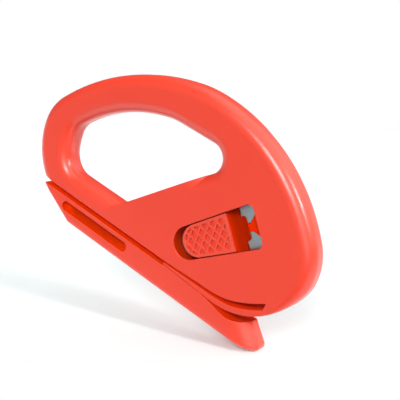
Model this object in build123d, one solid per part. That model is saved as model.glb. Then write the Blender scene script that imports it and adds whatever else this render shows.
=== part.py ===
from build123d import *
import math
import os

# Gift wrap cutter: two moulded halves around a thumb slide that carries a flat steel blade.
# It lies on its plain back. X runs along the sole from tail to tip, Y from the sole to the
# finger loop, Z from the back to the face with the thumb window. Outlines are drawn with X from
# the rearmost point of the loop and Y from the sole. All sizes are in millimetres.

# Whole tool
tool_length = 108.0
tool_height = 63.6
tool_thickness = 10.0
parting = tool_thickness / 2

# Outer outline: where it turns at crown, heel and nose, and the radii it has there
crown_x = 55.5
heel_y = 26.5
nose_y = 28.5
crown_radius = 39.8
crown_arc = 9.7
heel_radius = 16.2
brow_radius = 18.3
nose_radius = 15.0
grip_rounding = 3.9
hole_rounding = 3.9

# Rim of the lip under the nose, which narrows to a crisp edge: places as shares of the way from chin to nose
lip_rim_start = 0.45
lip_rim_full = 0.9
lip_rim_steps = 5
lip_rim_least = 0.3
rim_margin = 1.0

# Tail, from the loop down to the sole
sole_start = 24.0
tail_radius = 23.9
tail_nip = 1.4

# Foot under the paper
paper_level = 8.0
foot_rounding = 1.4
foot_rim_limit = 5.0
foot_tip_x = 96.6
foot_tip_y = 8.3
tip_slope = 43.0
tip_rise_x = 96.5
tip_rise = 1.8
tip_rounding = 1.5
throat_start_x = 78.5
throat_x = 90.5
throat_y = 5.9
throat_rise = 35.0
tip_thickness = 4.2
tip_taper = 7.0

# Paper passage: an open slit from the mouth to the blade, then a groove along each face
groove_height = 1.7
web_thickness = 2.0
web_end_x = 10.0
web_root = 0.5
split_x = 63.6
slit_gap = 0.25
chin_x = 83.0
chin_y = 7.4

# Springy tongue that holds the paper down, freed by a slot above it
tongue_tip = 0.4
tongue_slot_height = 1.0
tongue_end_height = 2.3
tongue_bend_x = 78.0
tongue_bend_y = 9.75
tongue_slot_end = 99.3
tongue_end_y = 16.2
tongue_end_slope = 34.0
tongue_fullness = 0.42

# Finger hole
hole_floor = 16.0
hole_top = 49.8
hole_left = 12.9
hole_corner_x = 39.9
hole_crown_x = 49.0
hole_heel_y = 27.4
hole_floor_turn_x = 21.0
hole_crown_radius = 22.4
hole_crown_arc = 12.0
hole_heel_radius = 7.4
hole_turn_radius = 7.5
hole_slope = 44.9
hole_nose_radius = 4.8
hole_corner_radius = 1.2
brace_depth = 5.0
brace_fade = 9.0
brace_rounding = 0.5

# Recess along each side of the foot
recess_start = 20.0
recess_end = 49.2
recess_low = 3.4
recess_high = 6.7
recess_depth = 2.6
recess_rounding = 1.3

# Thumb window and the line that the slide moves on, which starts at the window's low end
slide_x = 64.7
slide_y = 15.6
slide_angle = 43.3
window_length = 30.3
window_low_width = 9.8
window_high_width = 13.7
window_corner = 2.0
face_wall = 2.0
back_wall = 2.2

# Slide travel, from the cutting position: forward to its stop and back to the safe position
forward_travel = 2.5
safe_travel = 8.0
end_clearance = 0.4
side_clearance = 0.15
height_clearance = 0.15
pocket_corner = 1.2

# Thumb slide, placed along its line
pad_start = 3.5
pad_end = 20.6
pad_gap = 0.35
pad_sink = 0.2
flange_start = 6.6
flange_end = 30.5
flange_width = 17.0
flange_corner = 1.5
ramp_hollow = 1.2
tail_seat_start = 23.0
seat_wall = 1.2

# Diamond grip in the top of the pad
grip_depth = 0.7
grip_rib = 0.6
grip_pitch_along = 3.0
grip_pitch_across = 3.9
grip_border = 0.9
grip_smallest = 0.5

# Toe of the ramp that laps over the blade, and the waisted key that its tail drops onto
toe_thickness = 0.35
toe_end = 24.6
toe_width = 7.6
toe_corner = 1.0
key_start = 24.4
key_waist_end = 25.7
key_waist_width = 2.5
key_head_width = 7.0
key_end = 29.3
key_corner = 0.5
key_gap = 0.1

# Blade
blade_thickness = 0.5
blade_width = 9.0
blade_reach = 9.3
blade_tip_slant = 30.0
blade_tail_start = 23.1
blade_tail_end = 29.8
blade_tail_width = 14.0
blade_corner = 0.8
bevel_width = 1.3
bevel_length = 14.0
edge_thickness = 0.08
blade_fit = 0.05
blade_slot_gap = 0.15
web_nose_setback = 1.5

# Pins that line the halves up
pin_radius = 1.5
pin_length = 2.4
pin_gap = 0.05
pin_places = [(6.4, 27.0), (45.0, 56.3), (97.0, 27.0), (26.0, 12.9)]

along_x = math.cos(math.radians(slide_angle))
along_y = math.sin(math.radians(slide_angle))
slide_plane = Plane(origin=(slide_x, slide_y, 0), x_dir=(along_x, along_y, 0), z_dir=(0, 0, 1))
slide_side = Plane(origin=(slide_x, slide_y, 0), x_dir=(along_x, along_y, 0), z_dir=(along_y, -along_x, 0))
blade_bottom = parting - blade_thickness / 2
blade_top = parting + blade_thickness / 2
pocket_floor = back_wall
pocket_ceiling = tool_thickness - face_wall
slide_bottom = pocket_floor + height_clearance
flange_top = pocket_ceiling - height_clearance
pad_top = tool_thickness - pad_sink
groove_top = paper_level + groove_height
toe_top = blade_top + toe_thickness


def smooth_arcs(start, direction, end, arrival, end_radius):
    """Two arcs that meet smoothly; the second has a radius and arrival, negative if it turns right."""
    first_point = Vector(*start)
    last_point = Vector(*end)
    leaving = Vector(*direction).normalized()
    end_centre = last_point + Vector(*arrival).rotate(Axis.Z, 90) * end_radius
    gap = first_point - end_centre
    inward = leaving.rotate(Axis.Z, 90)
    start_radius = (end_radius**2 - gap.dot(gap)) / (2 * (gap.dot(inward) + end_radius))
    start_centre = first_point + inward * start_radius
    outward = (end_centre - start_centre).normalized() * abs(end_radius)
    if abs(start_radius) < abs(end_radius):
        outward = -outward
    joint = end_centre + outward
    first = TangentArc(first_point, joint, tangent=leaving)
    return [first, TangentArc(joint, last_point, tangent=first % 1)]


def capped_arcs(start, direction, cap_radius, cap_arc, end, arrival, end_radius):
    """Three smooth arcs: a short cap of its own radius, then two that run on to the end."""
    cap = JernArc(start, direction, cap_radius, cap_arc)
    rest = smooth_arcs(tuple(cap @ 1), tuple(cap % 1), end, arrival, end_radius)
    return [cap, *rest]


def tail_edges():
    """Arc down from the heel, and the straight that leaves it smoothly for the sole's start."""
    centre = Vector(tail_radius, heel_y)
    reach = Vector(sole_start, 0) - centre
    lean = math.degrees(math.acos(tail_radius / reach.length))
    joint = centre + reach.normalized().rotate(Axis.Z, -lean) * tail_radius
    return [TangentArc((0, heel_y), joint, tangent=(0, -1)), Line(joint, (sole_start, 0))]


def lip_points():
    """Ends of the straight part of the lip: at the chin, and at the tongue's free tip."""
    tip_y = paper_level + groove_height / 2 - tongue_tip / 2
    return (chin_x, chin_y + slit_gap), (split_x, tip_y)


def lip_arcs():
    """The two arcs of the lip, from the chin up to the nose."""
    chin, split = lip_points()
    lip_direction = (chin[0] - split[0], chin[1] - split[1])
    return smooth_arcs(chin, lip_direction, (tool_length, nose_y), (0, 1), nose_radius)


def head_face():
    """Loop and head, down to the lip over the paper slit; the foot's place is cut away later."""
    heel = (0, heel_y)
    crown = (crown_x, tool_height)
    nose = (tool_length, nose_y)
    chin, split = lip_points()
    edges = [
        *lip_arcs(),
        *smooth_arcs(crown, (1, 0), nose, (0, -1), -brow_radius),
        *capped_arcs(crown, (-1, 0), crown_radius, crown_arc, heel, (0, -1), heel_radius),
        *tail_edges(),
        Line((sole_start, 0), split),
        Line(split, chin),
    ]
    return make_face(edges)


def foot_face():
    """Foot with its rising tip and its top edge, which dips at the throat."""
    slope = math.radians(tip_slope)
    heel = (0, heel_y)
    tip = (foot_tip_x, foot_tip_y)
    toe = (foot_tip_x + (foot_tip_y - tip_rise) / math.tan(slope), tip_rise)
    lip_split = lip_points()[1]
    split = (lip_split[0], lip_split[1] - slit_gap)
    fall = (chin_y - split[1]) / (chin_x - split_x)
    throat_start = (throat_start_x, split[1] + fall * (throat_start_x - split_x))
    rise = math.tan(math.radians(throat_rise))
    top = Spline(throat_start, (throat_x, throat_y), tip, tangents=[(1, fall), (1, rise)])
    outline = make_face([
        *tail_edges(),
        Line((sole_start, 0), (tip_rise_x, 0)),
        TangentArc((tip_rise_x, 0), toe, tangent=(1, 0)),
        Line(toe, tip),
        top,
        Line(throat_start, split),
        Line(split, heel),
    ])
    corner = outline.vertices().sort_by(Axis.X)[-1]
    return fillet(corner, tip_rounding)


def foot_wedge():
    """One half of the foot's thickness, drawn in to the slender side of the tip."""
    slope = math.radians(tip_slope)
    start = (-tip_taper, parting)
    end = (0, tip_thickness / 2)
    section = make_face([
        TangentArc(start, end, tangent=(1, 0)),
        Polyline(end, (0, 0), (-tool_length, 0), (-tool_length, parting), start),
    ])
    across = Plane(
        origin=(foot_tip_x, foot_tip_y, parting),
        x_dir=(math.sin(slope), math.cos(slope), 0),
        z_dir=(math.cos(slope), -math.sin(slope), 0),
    )
    return extrude(across * section, tool_length, both=True)


def finger_hole_face():
    slope = math.radians(hole_slope)
    corner = (hole_corner_x, hole_floor)
    peak = (hole_corner_x + (hole_top - hole_floor) / math.tan(slope), hole_top)
    crown = (hole_crown_x, hole_top)
    heel = (hole_left, hole_heel_y)
    turn = (hole_floor_turn_x, hole_floor)
    outline = make_face([
        Line(corner, peak),
        Line(peak, crown),
        *capped_arcs(crown, (-1, 0), hole_crown_radius, hole_crown_arc, heel, (0, -1), hole_heel_radius),
        *smooth_arcs(heel, (0, -1), turn, (1, 0), hole_turn_radius),
        Line(turn, corner),
    ])
    outline = fillet(outline.vertices().sort_by(Axis.X)[-1], hole_nose_radius)
    sharp = outline.vertices().sort_by_distance(Vertex(*corner))[0]
    return fillet(sharp, hole_corner_radius)


def tapered_outline(start, end, low_width, high_width, corner):
    """Outline on the slide's line: round at its low end, small corners at its high end."""
    low = low_width / 2
    high = high_width / 2
    growth = (high - low) / (end - start)
    turn = start + low
    turn_half = low + growth * low
    outline = make_face([
        ThreePointArc((turn, -turn_half), (start, 0), (turn, turn_half)),
        Line((turn, turn_half), (end, high)),
        Line((end, high), (end, -high)),
        Line((end, -high), (turn, -turn_half)),
    ])
    if corner > 0:
        outline = fillet(outline.vertices().sort_by(Axis.X)[-2:], corner)
    return outline


def on_slide(sketch, bottom, height):
    """Upright solid from a sketch drawn along the slide's line, standing on a height above the back."""
    return extrude(slide_plane.offset(bottom) * sketch, height)


def slide_box(start, end, width, bottom, top, corner=0):
    """Block centred on the slide's line, its upright edges rounded if a corner radius is given."""
    sketch = Rectangle(end - start, width)
    if corner > 0:
        sketch = RectangleRounded(end - start, width, corner)
    return on_slide(Pos((start + end) / 2, 0) * sketch, bottom, top - bottom)


def window_width_at(along):
    return window_low_width + (window_high_width - window_low_width) * along / window_length


def plate(low, high, bottom, top):
    """Box from its low and high corners in plan, between two heights above the back."""
    centre = Pos((low[0] + high[0]) / 2, (low[1] + high[1]) / 2, bottom)
    return centre * extrude(Rectangle(high[0] - low[0], high[1] - low[1]), top - bottom)


def above_parting(sketch, height=parting):
    return Pos(0, 0, parting) * extrude(sketch, height)


def head_half():
    """Loop and head of one half, with its grip edges rounded and a crisp lip."""
    plain = above_parting(head_face())
    rim = plain.faces().sort_by(Axis.Z)[-1].edges()
    closing = rim.filter_by(GeomType.LINE).sort_by(Edge.length)[-1]
    solid = fillet([edge for edge in rim if not edge.is_same(closing)], grip_rounding)
    solid -= above_parting(finger_hole_face())
    top = solid.faces().filter_by(Plane.XY).sort_by(Axis.Z)[-1]
    hole_rim = top.inner_wires()[0].edges()
    slanted = hole_rim.filter_by(GeomType.LINE).sort_by(Edge.length)[-1]
    soft = [edge for edge in hole_rim if not edge.is_same(slanted)]
    solid = fillet(soft, hole_rounding)
    solid = (solid - lip_region()) + ((plain & lip_region()) - narrowing_rim())
    solid += brace()
    return solid - plate((0, 0), (split_x, groove_top), parting, tool_thickness)


def fading_block(origin, angle, start, end, fade, depths):
    """Upright block along a line, level with the face until it sinks smoothly at its far end."""
    slope = math.radians(angle)
    side = Plane(
        origin=(*origin, 0),
        x_dir=(math.cos(slope), math.sin(slope), 0),
        z_dir=(math.sin(slope), -math.cos(slope), 0),
    )
    level = (end - fade, tool_thickness)
    sunk = (end, tool_thickness - grip_rounding)
    profile = make_face([
        TangentArc(level, sunk, tangent=(1, 0)),
        Polyline(sunk, (end, parting), (start, parting), (start, tool_thickness), level),
    ])
    return extrude(side.offset(depths[0]) * profile, depths[1] - depths[0])


def lip_region():
    """Space of the lip, below the nose and ahead of the split, where the rim narrows."""
    return plate((split_x, 0), (tool_length, nose_y), parting, tool_thickness)


def narrowing_rim():
    """What the rim takes off along the lip: full at the nose, and narrowing to a crisp edge."""
    path = Wire(lip_arcs())
    sections = []
    for step in range(lip_rim_steps + 1):
        place = lip_rim_start + (1 - lip_rim_start) * step / lip_rim_steps
        share = min(1, (place - lip_rim_start) / (lip_rim_full - lip_rim_start))
        size = lip_rim_least + (grip_rounding - lip_rim_least) * math.sin(share * math.pi / 2) ** 2
        spot = path @ place
        along = path % place
        outward = along.rotate(Axis.Z, -90)
        corner = (spot.X, spot.Y, tool_thickness)
        side = Plane(origin=corner, x_dir=outward, z_dir=outward.cross(Vector(0, 0, 1)))
        sections.append(side * rim_section(size))
    return loft(sections)


def rim_section(size):
    """Space outside a quarter round of the given radius, drawn across an edge."""
    middle = size * (math.sqrt(0.5) - 1)
    return make_face([
        ThreePointArc((-size, 0), (middle, middle), (0, -size)),
        Polyline((0, -size), (rim_margin, -size), (rim_margin, rim_margin), (-size, rim_margin), (-size, 0)),
    ])


def brace():
    """Straight side of the finger hole: upright and crisp, fading into the rounded nose of the hole."""
    slope = math.radians(hole_slope)
    start = -hole_rounding / math.sin(slope)
    end = (hole_top - hole_floor) / math.sin(slope) - hole_nose_radius / math.tan(slope / 2)
    corner = (hole_corner_x, hole_floor)
    solid = fading_block(corner, hole_slope, start, end, brace_fade, (0, brace_depth))
    rim = solid.faces().filter_by(Plane.XY).sort_by(Axis.Z)[-1].edges()
    return fillet(rim.sort_by_distance(Vertex(*corner, tool_thickness))[0], brace_rounding)


def foot_half():
    """Foot of one half, drawn in towards its tip, with its sole rounded and its tail's corner cut."""
    solid = above_parting(foot_face()) & foot_wedge()
    solid -= plate((0, paper_level), (split_x, heel_y), parting, tool_thickness)
    solid = chamfer(solid.edges().filter_by(Axis.Z).sort_by(Axis.X)[0], tail_nip)
    outer = [face for face in solid.faces() if face.normal_at().Z > 0.5]
    rim = [edge for face in outer for edge in face.edges()]
    alone = [edge for edge in rim if sum(edge.is_same(other) for other in rim) == 1]
    return fillet([edge for edge in alone if (edge @ 0.5).Y < foot_rim_limit], foot_rounding)


def web():
    """Thin wall in the middle plane that joins foot and head behind the blade's edge."""
    low = paper_level - web_root
    high = groove_top + web_root
    outline = make_face(Polyline(
        (web_end_x, low),
        beside_slide(low),
        beside_slide(high),
        (web_end_x, high),
        close=True,
    ))
    return above_parting(outline, web_thickness / 2)


def beside_slide(level):
    """Point at a height above the sole on the web's front edge, which runs beside the cutting edge."""
    across = web_nose_setback - blade_width / 2
    along = (level - slide_y - across * along_x) / along_y
    return (slide_x + along * along_x - across * along_y, level)


def tongue_slot():
    """Slot above the tongue, from its free tip to a blunt end in the head."""
    tip = (split_x, paper_level + groove_height / 2 + tongue_tip / 2)
    root = (split_x, groove_top)
    low = tongue_curve(-tongue_slot_height / 2, -tongue_end_height / 2)
    high = tongue_curve(tongue_slot_height / 2, tongue_end_height / 2)
    outline = make_face([
        Line(tip, low @ 0),
        low,
        Line(low @ 1, high @ 1),
        high,
        Line(high @ 0, root),
        Line(root, tip),
    ])
    return above_parting(outline)


def tongue_curve(bend_rise, end_rise):
    """Curved part of one edge of the slot, at its distances above the slot's middle."""
    bend = (tongue_bend_x, tongue_bend_y + bend_rise)
    end = (tongue_slot_end, tongue_end_y + end_rise)
    reach = (tongue_slot_end - tongue_bend_x) * tongue_fullness
    fall = reach * math.tan(math.radians(tongue_end_slope))
    return Bezier(bend, (bend[0] + reach, bend[1]), (end[0] - reach, end[1] - fall), end)


def side_recess():
    """Long rounded recess that lightens the side of the foot."""
    solid = extrude(SlotOverall(recess_end - recess_start, recess_high - recess_low), recess_depth)
    solid = fillet(solid.faces().sort_by(Axis.Z)[0].edges(), recess_rounding)
    middle = ((recess_start + recess_end) / 2, (recess_low + recess_high) / 2)
    return Pos(*middle, tool_thickness - recess_depth) * solid


def shell_blank():
    """What both halves share, drawn as the half in front of the parting plane."""
    return head_half() + foot_half() + web() - tongue_slot() - side_recess() - blade_slot()


def blade_slot():
    """Narrow slot that the blade runs in, from the pocket through the paper passage into the foot."""
    start = -blade_reach - forward_travel - end_clearance
    low = blade_bottom - blade_slot_gap
    return slide_box(start, flange_start, blade_width + 2 * blade_slot_gap, low, blade_top + blade_slot_gap)


def pocket(bottom, top):
    """Room for the slide's wide flange inside the housing."""
    start = flange_start - forward_travel - end_clearance
    end = flange_end + safe_travel + end_clearance
    return slide_box(start, end, flange_width + 2 * side_clearance, bottom, top, pocket_corner)


def window(bottom, top):
    """Well that the thumb pad moves in, as wide inside the housing as at the face."""
    outline = tapered_outline(0, window_length, window_low_width, window_high_width, window_corner)
    return on_slide(outline, bottom, top - bottom)


def front_shell(blank):
    """Half with the thumb window, and sockets for the other half's pins."""
    solid = blank - pocket(parting, pocket_ceiling) - window(parting, tool_thickness)
    for x, y in pin_places:
        solid -= Pos(x, y, parting) * extrude(Circle(pin_radius + pin_gap), pin_length + pin_gap)
    return solid


def rear_shell(blank):
    """Plain back half, with pins that stand in the front half's sockets."""
    solid = mirror(blank, Plane.XY.offset(parting))
    solid = solid - pocket(pocket_floor, parting) - window(pocket_floor, parting)
    for x, y in pin_places:
        solid += Pos(x, y, parting) * extrude(Circle(pin_radius), pin_length)
    return solid


def pad_face():
    """Top of the thumb pad, a gap smaller all round than the window that it fills."""
    start_width = window_width_at(pad_start) - 2 * pad_gap
    end_width = window_width_at(pad_end) - 2 * pad_gap
    return tapered_outline(pad_start, pad_end, start_width, end_width, 0)


def ramp_space():
    """What is open behind the pad: a hollow ramp down to its toe on the blade, and the seat beyond."""
    top = (pad_end, pad_top)
    foot = (toe_end, toe_top)
    middle = ((top[0] + foot[0]) / 2 - ramp_hollow, (top[1] + foot[1]) / 2 - ramp_hollow)
    outline = make_face([
        ThreePointArc(top, middle, foot),
        Polyline(foot, (toe_end, blade_bottom), (flange_end, blade_bottom), (flange_end, pad_top), top),
    ])
    seat_width = flange_width - 2 * seat_wall
    seat = slide_box(tail_seat_start, flange_end, seat_width, blade_bottom, pad_top)
    toe = slide_box(pad_end, toe_end, toe_width, blade_bottom, pad_top, toe_corner)
    return extrude(slide_side * outline, seat_width / 2, both=True) + (seat - toe)


def key_face(gap):
    """Waisted key that widens at a right angle to its head; the blade's notch is a gap larger."""
    waist = key_waist_width / 2 + gap
    head = key_head_width / 2 + gap
    start = key_start - gap
    head_start = key_waist_end + head - waist
    outline = make_face(Polyline(
        (start, waist),
        (key_waist_end, waist),
        (head_start, head),
        (key_end + gap, head),
        (key_end + gap, -head),
        (head_start, -head),
        (key_waist_end, -waist),
        (start, -waist),
        close=True,
    ))
    return fillet(outline.vertices(), key_corner)


def blade_tunnel():
    """Slot through the slide for the blade's strip; the ramp's toe is its roof at the tail end."""
    return slide_box(pad_start, toe_end, blade_width + 2 * blade_fit, blade_bottom, blade_top + blade_fit)


def grip_diamonds():
    """Sunk diamonds between crossing ribs on the pad's top."""
    border = offset(pad_face(), -grip_border)
    along = grip_pitch_along / 2
    across = grip_pitch_across / 2
    open_share = 1 - grip_rib / 2 * math.hypot(along, across) / (along * across)
    reach = along * open_share
    spread = across * open_share
    diamond = make_face(Polyline((reach, 0), (0, spread), (-reach, 0), (0, -spread), close=True))
    columns = math.ceil((pad_end - pad_start) / along)
    rows = math.ceil(window_high_width / 2 / across)
    places = []
    for column in range(columns):
        for row in range(-rows, rows + 1):
            if (column + row) % 2 == 0:
                places.append((pad_start + column * along, row * across))
    cells = [Pos(x, y) * diamond & border for x, y in places]
    kept = [face for cell in cells if cell for face in cell.faces() if face.area > grip_smallest]
    return [on_slide(face, pad_top - grip_depth, grip_depth) for face in kept]


def thumb_slide():
    """Slide with the thumb pad, a hollow ramp behind it, and the seat and key for the blade."""
    solid = slide_box(flange_start, flange_end, flange_width, slide_bottom, flange_top, flange_corner)
    solid += on_slide(pad_face(), slide_bottom, pad_top - slide_bottom)
    solid -= ramp_space()
    solid -= blade_tunnel()
    solid += on_slide(key_face(0), blade_bottom, blade_thickness + blade_fit)
    for diamond in grip_diamonds():
        solid -= diamond
    return solid


def blade():
    """Flat blade: a strip with a slanted tip, and a wide notched tail that the slide's key holds."""
    half = blade_width / 2
    tail = blade_tail_width / 2
    short = blade_width * math.tan(math.radians(blade_tip_slant)) - blade_reach
    strip = make_face(Polyline(
        (-blade_reach, -half),
        (blade_tail_start + blade_corner, -half),
        (blade_tail_start + blade_corner, half),
        (short, half),
        close=True,
    ))
    end = Pos((blade_tail_start + blade_tail_end) / 2, 0) * RectangleRounded(
        blade_tail_end - blade_tail_start, blade_tail_width, blade_corner
    )
    mouth = Pos((key_end + blade_tail_end) / 2, 0) * Rectangle(
        blade_tail_end - key_end + 2 * blade_corner, key_head_width + 2 * key_gap
    )
    outline = strip + end - key_face(key_gap) - mouth
    solid = on_slide(outline, blade_bottom, blade_thickness)
    for wedge in edge_wedges():
        solid -= wedge
    return solid


def edge_wedges():
    """Two wedges ground off the blade's cutting side."""
    side = -blade_width / 2
    half_edge = edge_thickness / 2
    half_blade = blade_thickness / 2
    wedges = []
    for sign in (-1, 1):
        profile = make_face(Polyline(
            (side, parting + sign * half_edge),
            (side, parting + sign * half_blade),
            (side + bevel_width, parting + sign * half_blade),
            close=True,
        ))
        start = Plane(
            origin=(slide_x - blade_reach * along_x, slide_y - blade_reach * along_y, 0),
            x_dir=(-along_y, along_x, 0),
            z_dir=(along_x, along_y, 0),
        )
        wedges.append(extrude(start * profile, bevel_length))
    return wedges


if __name__ == "__main__":
    os.makedirs("parts", exist_ok=True)
    blank = shell_blank()
    pieces = {
        "front_shell": front_shell(blank),
        "rear_shell": rear_shell(blank),
        "thumb_slide": thumb_slide(),
        "blade": blade(),
    }
    for name, piece in pieces.items():
        placed = Pos(-tool_length / 2, -tool_height / 2, 0) * piece
        export_step(placed, f"parts/{name}.step")
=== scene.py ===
import bpy
import bmesh
import math
from mathutils import Matrix, Vector


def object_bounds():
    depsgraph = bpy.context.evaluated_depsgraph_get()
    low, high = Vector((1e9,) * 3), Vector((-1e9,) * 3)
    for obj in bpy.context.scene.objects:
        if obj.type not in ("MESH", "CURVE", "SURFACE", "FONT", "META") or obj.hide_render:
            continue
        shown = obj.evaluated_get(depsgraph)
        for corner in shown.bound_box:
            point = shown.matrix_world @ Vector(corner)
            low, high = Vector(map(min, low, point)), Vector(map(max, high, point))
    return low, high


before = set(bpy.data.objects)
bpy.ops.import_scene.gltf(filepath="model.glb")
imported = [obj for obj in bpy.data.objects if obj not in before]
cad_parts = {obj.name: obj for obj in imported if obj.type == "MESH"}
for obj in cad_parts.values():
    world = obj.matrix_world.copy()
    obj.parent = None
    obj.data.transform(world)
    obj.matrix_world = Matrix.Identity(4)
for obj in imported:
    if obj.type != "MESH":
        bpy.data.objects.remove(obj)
cadLow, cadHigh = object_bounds()
print("frame loaded:", sorted(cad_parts))

scene = bpy.context.scene
scene.view_settings.view_transform = "Standard"
mm = 0.001


def hexColour(text):
    # sRGB hex to the linear colour that nodes take
    values = [int(text[i:i + 2], 16) / 255 for i in (1, 3, 5)]
    return [v / 12.92 if v <= 0.04045 else ((v + 0.055) / 1.055) ** 2.4 for v in values] + [1.0]


def addNode(tree, kind, settings=None, links=None):
    # settings are properties or unlinked sockets, links are sockets fed by another node
    node = tree.nodes.new(kind)
    for name, value in (settings or {}).items():
        if isinstance(name, str) and hasattr(node, name):
            setattr(node, name, value)
        else:
            node.inputs[name].default_value = value
    for name, source in (links or {}).items():
        tree.links.new(source, node.inputs[name])
    return node


def newMaterial(name):
    material = bpy.data.materials.new(name)
    material.use_nodes = True
    material.node_tree.nodes.clear()
    return material, material.node_tree


def closeMaterial(tree, surface):
    addNode(tree, "ShaderNodeOutputMaterial", links={"Surface": surface})


viewer = {
    "place": (111.6, 83.4, 211.7),      # mm, in the frame of the cutter
    "forward": (-0.41426, -0.34246, -0.84327),
    "up": (-0.49732, 0.86114, -0.10541),
    "lens": 72.0,                       # mm
    "sensor": 36.0,                     # mm
    "clip": (0.01, 10),                 # m
}
forward = Vector(viewer["forward"]).normalized()
upward = Vector(viewer["up"])
upward = (upward - forward * upward.dot(forward)).normalized()
rightward = forward.cross(upward)


def makeCamera():
    data = bpy.data.cameras.new("viewer")
    data.lens = viewer["lens"]
    data.sensor_width = viewer["sensor"]
    data.clip_start, data.clip_end = viewer["clip"]
    camera = bpy.data.objects.new("viewer", data)
    turn = Matrix((rightward, upward, -forward)).transposed().to_4x4()
    camera.matrix_world = Matrix.Translation(Vector(viewer["place"]) * mm) @ turn
    scene.collection.objects.link(camera)
    scene.camera = camera


makeCamera()
print("camera placed")


plasticGrade = {             # what the housing and the slide have in common
    "ior": 1.62,
    "cloudSize": 14.0,       # mm, slow flow marks that shift colour and gloss a little
    "cloudGloss": (-0.03, 0.05),     # what they add to the roughness
    "grainSize": 0.35,       # mm, the slight orange peel of a moulded gloss face
    "grainDepth": 0.003,     # mm
    "edge": 0.25,            # mm, softness of moulded edges
    "nookReach": 5.0,        # mm, within which a wall counts as near
    "nookSky": (0.68, 0.95),         # open share of its sky where a place is all nook, and none
    "nookDull": 1.0,         # roughness in slots and corners, which a polished tool can't reach
    "paintedNookReflection": "#FF5030",  # painted reflection: the red tint that a red wall opposite would give the gloss in a nook
}
housingPlastic = {
    **plasticGrade,
    "colour": "#E8412A",
    "deep": "#E33C26",       # the other end of its slight flow marks
    "roughness": 0.30,
    "paintedShadeAndDullShare": 1.0,        # how much of the painted nook colour, and of the dullness, a slot gets
    "paintedNookColours": ("#FA4200", "#AC2600"),      # painted glow down in a slot, and painted shade at its mouth
    "mouthSky": (0.3, 0.55),                    # open share of the sky at these two
    "wallShare": 0.7,        # how much of the mouth's painted shade an upright wall there takes; the rest is painted glow
    # painted shade: everything inside this box, under the window, takes the painted nook colours
    "well": {
        "middle": (21.7, -5.8, 5.1),            # mm, of the space under the window
        "half": (16.0, 7.6, 4.5),               # mm, along and across the slide, and in depth
        "angle": 43.3,                          # degrees, the way the slide moves
    },
}
slidePlastic = {
    **plasticGrade,
    "colour": "#E84932",
    "deep": "#E2432C",
    "roughness": 0.32,
    "paintedShadeAndDullShare": 0.25,       # its sunk diamonds are shallow and take little of the painted shade
    "paintedNookColours": ("#A82200", "#F03200"),      # painted shade at the foot of its ramp, and a saturated red for painted shade elsewhere down in the window
    "ramp": {
        "place": (10.7, -16.2),  # mm, the low end of the window
        "angle": 43.3,           # degrees, the way the slide moves
        "rim": (8.9, 8.4),       # mm above the back, from open to down in the window, where painted shade begins
        "shade": (9.5, 6.0),     # mm above the back, from no painted shade to the full painted shade of the foot
        "end": (24.7, 24.5),     # mm from the window's low end, within which there is painted shade
    },
}


def slotDepth(tree, values, sky, normal):
    # 0 down in a slot and 1 at its mouth, but less than 1 on upright walls there: it picks between
    # painted glow (0) and painted shade (1)
    deep, mouth = values["mouthSky"]
    depth = addNode(tree, "ShaderNodeMapRange", {
        "interpolation_type": "SMOOTHSTEP", "From Min": deep, "From Max": mouth,
    }, {"Value": sky})
    turned = addNode(tree, "ShaderNodeSeparateXYZ", links={"Vector": normal})
    level = addNode(tree, "ShaderNodeMath", {"operation": "ABSOLUTE"}, {0: turned.outputs["Z"]})
    share = addNode(tree, "ShaderNodeMapRange", {"To Min": values["wallShare"]},
                    {"Value": level.outputs[0]})
    both = addNode(tree, "ShaderNodeMath", {"operation": "MULTIPLY"},
                   {0: depth.outputs["Result"], 1: share.outputs["Result"]})
    return both.outputs[0]


def paintedWellShade(tree, values, place, nook):
    # painted shade: the walls of the window and of the space behind it count as nooks and take the
    # painted nook colours
    local = addNode(tree, "ShaderNodeMapping", {
        "vector_type": "TEXTURE",
        "Location": [value * mm for value in values["middle"]],
        "Rotation": (0, 0, math.radians(values["angle"])),
        "Scale": [value * mm for value in values["half"]],
    }, {"Vector": place})
    parts = addNode(tree, "ShaderNodeSeparateXYZ", links={"Vector": local.outputs["Vector"]})
    within = [addNode(tree, "ShaderNodeMath", {"operation": "COMPARE", 1: 0.0, 2: 1.0},
                      {0: parts.outputs[axis]}).outputs[0] for axis in "XYZ"]
    flat = addNode(tree, "ShaderNodeMath", {"operation": "MULTIPLY"}, {0: within[0], 1: within[1]})
    inside = addNode(tree, "ShaderNodeMath", {"operation": "MULTIPLY"},
                     {0: flat.outputs[0], 1: within[2]})
    either = addNode(tree, "ShaderNodeMath", {"operation": "MAXIMUM"}, {0: nook, 1: inside.outputs[0]})
    return either.outputs[0]


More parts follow.
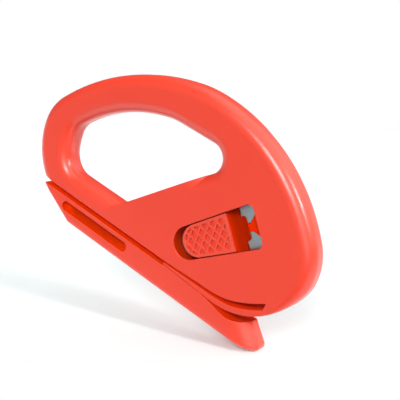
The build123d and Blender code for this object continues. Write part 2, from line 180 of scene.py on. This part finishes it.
def paintedRampShade(tree, values, place, nook):
    # painted shade: what of the slide lies down in the window counts as a nook, darkest at the foot of
    # its ramp
    local = addNode(tree, "ShaderNodeMapping", {
        "vector_type": "TEXTURE",
        "Location": [value * mm for value in values["place"]] + [0],
        "Rotation": (0, 0, math.radians(values["angle"])),
        "Scale": (mm, mm, mm),
    }, {"Vector": place})
    parts = addNode(tree, "ShaderNodeSeparateXYZ", links={"Vector": local.outputs["Vector"]})
    low = addNode(tree, "ShaderNodeMapRange", {
        "interpolation_type": "SMOOTHSTEP", "From Min": values["rim"][0], "From Max": values["rim"][1],
    }, {"Value": parts.outputs["Z"]})
    either = addNode(tree, "ShaderNodeMath", {"operation": "MAXIMUM"},
                     {0: nook, 1: low.outputs["Result"]})
    foot = addNode(tree, "ShaderNodeMapRange", {
        "interpolation_type": "SMOOTHSTEP",
        "From Min": values["shade"][0], "From Max": values["shade"][1],
    }, {"Value": parts.outputs["Z"]})
    before = addNode(tree, "ShaderNodeMapRange", {
        "From Min": values["end"][0], "From Max": values["end"][1],
    }, {"Value": parts.outputs["X"]})
    shade = addNode(tree, "ShaderNodeMath", {"operation": "MULTIPLY"},
                    {0: foot.outputs["Result"], 1: before.outputs["Result"]})
    light = addNode(tree, "ShaderNodeMath", {"operation": "SUBTRACT", 0: 1.0}, {1: shade.outputs[0]})
    return either.outputs[0], light.outputs[0]


def mouldedAbs(name, values):
    # ABS, injection moulded and coloured through: semi-gloss with a faint orange peel and soft edges,
    # dull in its slots.
    # Down in its slots and its window it gets painted shade and painted glow, for light that only gets
    # there by way of other red walls
    material, tree = newMaterial(name)
    where = addNode(tree, "ShaderNodeTexCoord")
    place = where.outputs["Object"]
    cloud = addNode(tree, "ShaderNodeTexNoise", {"Scale": 1 / (values["cloudSize"] * mm), "Detail": 3.0},
                    {"Vector": place})
    colour = addNode(tree, "ShaderNodeMix", {
        "data_type": "RGBA", 6: hexColour(values["deep"]), 7: hexColour(values["colour"]),
    }, {0: cloud.outputs["Fac"]})
    smoother, rougher = values["cloudGloss"]
    gloss = addNode(tree, "ShaderNodeMapRange", {
        "To Min": values["roughness"] + smoother, "To Max": values["roughness"] + rougher,
    }, {"Value": cloud.outputs["Fac"]})

    sky = addNode(tree, "ShaderNodeAmbientOcclusion", {
        "samples": 8, "only_local": True, "Distance": values["nookReach"] * mm,
    }).outputs["AO"]
    shut, clear = values["nookSky"]
    nook = addNode(tree, "ShaderNodeMapRange", {
        "interpolation_type": "SMOOTHSTEP",
        "From Min": clear, "From Max": shut, "To Max": values["paintedShadeAndDullShare"],
    }, {"Value": sky}).outputs["Result"]
    if "ramp" in values:
        nook, depth = paintedRampShade(tree, values["ramp"], place, nook)
    else:
        nook = paintedWellShade(tree, values["well"], place, nook)
        depth = slotDepth(tree, values, sky, where.outputs["Normal"])

    # painted shade and painted glow: nooks take these colours in place of their own
    inner, outer = values["paintedNookColours"]
    inside = addNode(tree, "ShaderNodeMix", {
        "data_type": "RGBA", 6: hexColour(inner), 7: hexColour(outer),
    }, {0: depth})
    shade = addNode(tree, "ShaderNodeMix", {"data_type": "RGBA"},
                    {0: nook, 6: colour.outputs[2], 7: inside.outputs[2]})
    dull = addNode(tree, "ShaderNodeMix", {"data_type": "FLOAT", 3: values["nookDull"]},
                   {0: nook, 2: gloss.outputs["Result"]})
    # painted reflection: the gloss in nooks is tinted red
    tint = addNode(tree, "ShaderNodeMix", {
        "data_type": "RGBA", 6: (1, 1, 1, 1), 7: hexColour(values["paintedNookReflection"]),
    }, {0: nook})
    soft = addNode(tree, "ShaderNodeBevel", {"samples": 6, "Radius": values["edge"] * mm})
    peel = addNode(tree, "ShaderNodeTexNoise", {"Scale": 1 / (values["grainSize"] * mm), "Detail": 2.0},
                   {"Vector": place})
    bump = addNode(tree, "ShaderNodeBump", {"Strength": 1.0, "Distance": values["grainDepth"] * mm},
                   {"Height": peel.outputs["Fac"], "Normal": soft.outputs["Normal"]})
    shader = addNode(tree, "ShaderNodeBsdfPrincipled", {"IOR": values["ior"]}, {
        "Base Color": shade.outputs[2],
        "Specular Tint": tint.outputs[2],
        "Roughness": dull.outputs[0],
        "Normal": bump.outputs["Normal"],
    })
    closeMaterial(tree, shader.outputs["BSDF"])
    return material


bladeSteel = {
    "colour": "#E2F4F6",
    "dull": "#A2BEC4",       # in the grinding lines
    "roughness": 0.3,
    "lineWidth": 0.12,       # mm, grinding lines, drawn coarser than real so that they show
    "lineLength": 6.0,       # mm
    "lineDepth": 0.002,      # mm
    "lineRelief": 0.6,       # how much of that depth the light catches
    "lineGloss": (-0.06, 0.08),      # what they add to the roughness
    "angle": 43.3,           # degrees, along the blade
    "edge": 0.3,             # mm, width of the rims that tumbling has rounded
}


def groundSteel(name, values):
    # hardened spring steel, ground along its length: satin, with fine lines
    material, tree = newMaterial(name)
    place = addNode(tree, "ShaderNodeTexCoord").outputs["Object"]
    turned = addNode(tree, "ShaderNodeMapping", {
        "vector_type": "TEXTURE",
        "Rotation": (0, 0, math.radians(values["angle"])),
        "Scale": (values["lineLength"] * mm, values["lineWidth"] * mm, values["lineWidth"] * mm),
    }, {"Vector": place})
    lines = addNode(tree, "ShaderNodeTexNoise", {"Scale": 1.0, "Detail": 3.0},
                    {"Vector": turned.outputs["Vector"]})
    colour = addNode(tree, "ShaderNodeMix", {
        "data_type": "RGBA", 6: hexColour(values["dull"]), 7: hexColour(values["colour"]),
    }, {0: lines.outputs["Fac"]})
    smoother, rougher = values["lineGloss"]
    gloss = addNode(tree, "ShaderNodeMapRange", {
        "To Min": values["roughness"] + smoother, "To Max": values["roughness"] + rougher,
    }, {"Value": lines.outputs["Fac"]})
    soft = addNode(tree, "ShaderNodeBevel", {"samples": 6, "Radius": values["edge"] * mm})
    bump = addNode(tree, "ShaderNodeBump", {
        "Strength": values["lineRelief"], "Distance": values["lineDepth"] * mm,
    }, {"Height": lines.outputs["Fac"], "Normal": soft.outputs["Normal"]})
    shader = addNode(tree, "ShaderNodeBsdfPrincipled", {"Metallic": 1.0}, {
        "Base Color": colour.outputs[2],
        "Roughness": gloss.outputs["Result"],
        "Normal": bump.outputs["Normal"],
    })
    closeMaterial(tree, shader.outputs["BSDF"])
    return material


housingFinish = mouldedAbs("mouldedAbsHousing", housingPlastic)
finishes = {
    "front_shell": housingFinish,
    "rear_shell": housingFinish,
    "thumb_slide": mouldedAbs("mouldedAbsSlide", slidePlastic),
    "blade": groundSteel("groundSpringSteel", bladeSteel),
}
for name, finish in finishes.items():
    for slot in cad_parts[name].material_slots:
        slot.material = finish
print("finishes assigned:", len(finishes))


floorValues = {
    "tilt": 13.0,            # degrees that the floor turns up towards the camera
    "near": 0.028,           # m, from the cutter's middle towards the camera
    "far": 0.45,             # m, away from it
    "side": 0.32,            # m, to either side
    "colour": "#D4DCDC",
    "lift": 0.155,           # brightness added to what the camera sees of it
    "glossLift": 0.6,        # and to what a gloss sees of it
}


def seenPlainly(tree, path):
    # 1 for what the camera sees, straight or through something clear
    return addNode(tree, "ShaderNodeMath", {"operation": "MAXIMUM"}, {
        0: path.outputs["Is Camera Ray"], 1: path.outputs["Is Transmission Ray"],
    }).outputs[0]


def paintedBoard():
    # matt white board, clear from behind, and a little brighter to the eye than the lamps make it
    material, tree = newMaterial("paintedBoard")
    path = addNode(tree, "ShaderNodeLightPath")
    seen = addNode(tree, "ShaderNodeMath", {"operation": "MULTIPLY", 1: floorValues["lift"]},
                   {0: seenPlainly(tree, path)})
    lift = addNode(tree, "ShaderNodeMath", {"operation": "MULTIPLY_ADD", 1: floorValues["glossLift"]},
                   {0: path.outputs["Is Glossy Ray"], 2: seen.outputs[0]})
    matt = addNode(tree, "ShaderNodeBsdfDiffuse", {"Color": hexColour(floorValues["colour"])})
    glow = addNode(tree, "ShaderNodeEmission", links={"Strength": lift.outputs[0]})
    both = addNode(tree, "ShaderNodeAddShader", links={0: matt.outputs[0], 1: glow.outputs[0]})
    clear = addNode(tree, "ShaderNodeBsdfTransparent")
    side = addNode(tree, "ShaderNodeNewGeometry")
    mixed = addNode(tree, "ShaderNodeMixShader",
                    links={0: side.outputs["Backfacing"], 1: both.outputs[0], 2: clear.outputs[0]})
    closeMaterial(tree, mixed.outputs[0])
    return material


def makeFloor():
    # a board under the cutter's lowest point, mostly behind it
    tilt = math.radians(floorValues["tilt"])
    up = (upward * math.cos(tilt) - forward * math.sin(tilt)).normalized()
    away = (forward - up * forward.dot(up)).normalized()
    across = away.cross(up)
    near, far = floorValues["near"], floorValues["far"]
    lowest = min(v.co.dot(up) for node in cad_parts.values() for v in node.data.vertices)
    middle = (cadLow + cadHigh) / 2
    middle = middle + up * (lowest - middle.dot(up)) + away * (far - near) / 2
    turn = Matrix((across, away, up)).transposed().to_4x4()
    stretch = Matrix.Diagonal((2 * floorValues["side"], far + near, 1, 1))
    shape = bmesh.new()
    bmesh.ops.create_grid(shape, x_segments=1, y_segments=1, size=0.5)      # 1 m square
    shape.transform(Matrix.Translation(middle) @ turn @ stretch)
    mesh = bpy.data.meshes.new("floor")
    shape.to_mesh(mesh)
    shape.free()
    mesh.materials.append(paintedBoard())
    floor = bpy.data.objects.new("floor", mesh)
    scene.collection.objects.link(floor)


roomValues = {
    "seen": 1.0,             # white, as the camera sees it
    "base": 0.155,           # the room's walls
}
softLights = {               # azimuth and elevation in degrees, from +X and from the cutter's plane
    "ceilingBox": {"azimuth": 80, "elevation": 55, "level": 23.0, "full": 5, "edge": 12},
    "whiteWall": {"azimuth": 84, "elevation": -6, "level": 1.45, "full": 25, "edge": 56},
    "sideWindow": {"azimuth": 36, "elevation": 54, "level": 1.4, "full": 12, "edge": 28},
    "smallLamp": {"azimuth": 54, "elevation": 6, "level": 120.0, "full": 1, "edge": 5},
    "frontCard": {"azimuth": -160, "elevation": 62, "level": 0.26, "full": 12, "edge": 48},
    "backCard": {"azimuth": 42, "elevation": -58, "level": 0.8, "full": 15, "edge": 45},
    "tableFront": {"azimuth": -20, "elevation": -5, "level": 1.2, "full": 20, "edge": 42},
    "tableGlow": {"azimuth": -110, "elevation": -8, "level": 1.4, "full": 40, "edge": 60},
}


def aim(azimuth, elevation):
    turn = math.radians(azimuth)
    rise = math.radians(elevation)
    return (math.cos(rise) * math.cos(turn), math.cos(rise) * math.sin(turn), math.sin(rise))


def makeRoom():
    # a pale room with soft lights: each is a round patch of the sky, even to its full angle from the
    # middle and fading out at its edge
    world = bpy.data.worlds.new("paleRoom")
    scene.world = world
    world.use_nodes = True
    tree = world.node_tree
    tree.nodes.clear()
    towards = addNode(tree, "ShaderNodeTexCoord").outputs["Generated"]
    total = addNode(tree, "ShaderNodeValue").outputs[0]
    total.default_value = roomValues["base"]
    for values in softLights.values():
        facing = addNode(tree, "ShaderNodeVectorMath", {
            "operation": "DOT_PRODUCT", 1: aim(values["azimuth"], values["elevation"]),
        }, {0: towards})
        patch = addNode(tree, "ShaderNodeMapRange", {
            "interpolation_type": "SMOOTHSTEP",
            "From Min": math.cos(math.radians(values["edge"])),
            "From Max": math.cos(math.radians(values["full"])),
            "To Max": values["level"],
        }, {"Value": facing.outputs["Value"]})
        both = addNode(tree, "ShaderNodeMath", {"operation": "ADD"},
                       {0: total, 1: patch.outputs["Result"]})
        total = both.outputs[0]
    path = addNode(tree, "ShaderNodeLightPath")
    level = addNode(tree, "ShaderNodeMix", {"data_type": "FLOAT", 3: roomValues["seen"]},
                    {0: seenPlainly(tree, path), 2: total})
    sky = addNode(tree, "ShaderNodeBackground", {"Color": (1, 1, 1, 1)}, {"Strength": level.outputs[0]})
    addNode(tree, "ShaderNodeOutputWorld", links={"Surface": sky.outputs[0]})


fillLamp = {
    "place": (-90, 120, 180),        # mm, up and to the left of the loop
    "target": (-25, 8, 10),          # mm
    "size": 120,                     # mm
    "power": 0.03,                   # W
}


def makeFillLamp():
    # one near diffuser: it makes the loop a little brighter than the head and leaves no spot in the gloss
    data = bpy.data.lights.new("diffuser", "AREA")
    data.size = fillLamp["size"] * mm
    data.energy = fillLamp["power"]
    lamp = bpy.data.objects.new("diffuser", data)
    place = Vector(fillLamp["place"]) * mm
    turn = (Vector(fillLamp["target"]) * mm - place).to_track_quat("-Z", "Y").to_matrix().to_4x4()
    lamp.matrix_world = Matrix.Translation(place) @ turn
    lamp.visible_glossy = False
    scene.collection.objects.link(lamp)


makeFloor()
makeRoom()
makeFillLamp()
print("floor and lights made")
